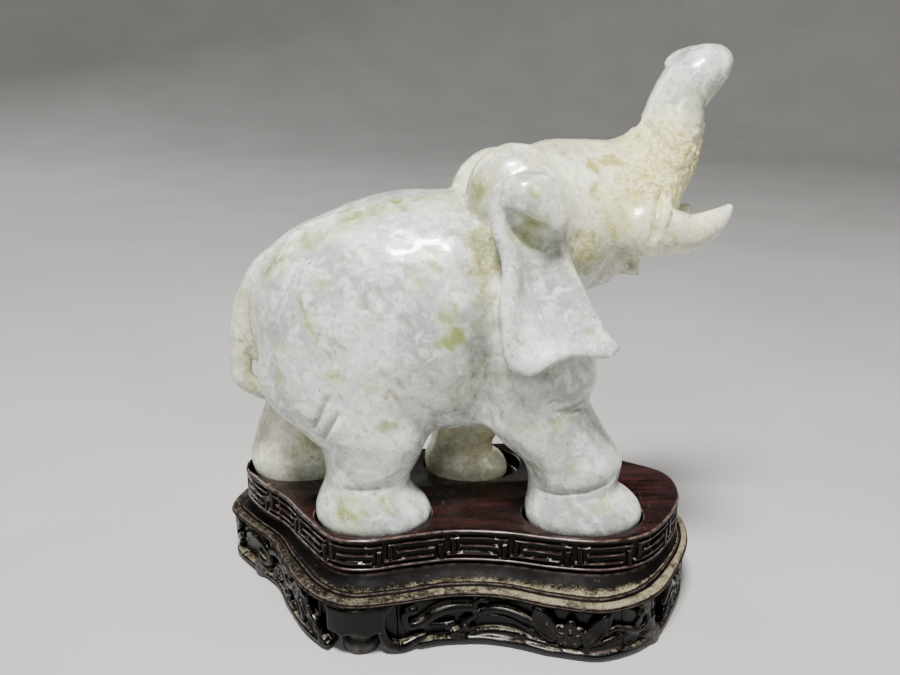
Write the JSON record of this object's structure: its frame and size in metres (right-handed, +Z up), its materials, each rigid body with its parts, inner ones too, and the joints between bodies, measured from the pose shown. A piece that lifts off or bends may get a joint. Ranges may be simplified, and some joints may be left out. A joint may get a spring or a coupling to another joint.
{
  "type": "carved jade elephant figurine on a hardwood stand",
  "caption": "Carved pale jade elephant with raised trunk that lifts off a lobed rosewood stand with key-fret edge, moulded ledge and openwork apron on peg feet.",
  "frame": {"origin": "on the resting surface, under the middle of the whole object's box", "axes": "+X the way the elephant faces, +Z up, +Y towards the elephant's left side"},
  "size_m": [0.0997, 0.0573, 0.1095],
  "materials": {
    "jade": "polished pale grey-white jade with yellow-green veins, brown stains and dull gritty hollows",
    "plate_rosewood": "dark red-brown rosewood, semi-gloss lacquer, fine grain and scratches, worn bright rim",
    "ledge_rosewood": "near-black lacquered rosewood with grey-beige dust in the hollow and on the bead",
    "carved_rosewood": "near-black lacquered carving with rubbed edges and dusty upper faces",
    "leg_rosewood": "near-black glossy lacquered corner blocks and scroll toes",
    "peg_wood": "turned pegs, worn grey-brown lacquer",
    "bamboo": "plain split bamboo"
  },
  "bodies": {
    "stand": {"stand_top_plate": "plate_rosewood", "stand_ledge": "ledge_rosewood", "apron_front": "carved_rosewood", "apron_right": "carved_rosewood", "apron_back": "carved_rosewood", "apron_left": "carved_rosewood", "corner_leg_front": "leg_rosewood", "corner_leg_right": "leg_rosewood", "corner_leg_back": "leg_rosewood", "corner_leg_left": "leg_rosewood", "peg_foot_front": "peg_wood", "peg_foot_right": "peg_wood", "peg_foot_back": "peg_wood", "peg_foot_left": "peg_wood", "plate_pins": "bamboo"},
    "elephant": {"jade_elephant": "jade"}
  },
  "joints": [
    {"name": "elephant_lift", "type": "slide", "parent": "stand", "child": "elephant", "axis": [0, 0, 1], "range_m": [0, 0.03]}
  ]
}
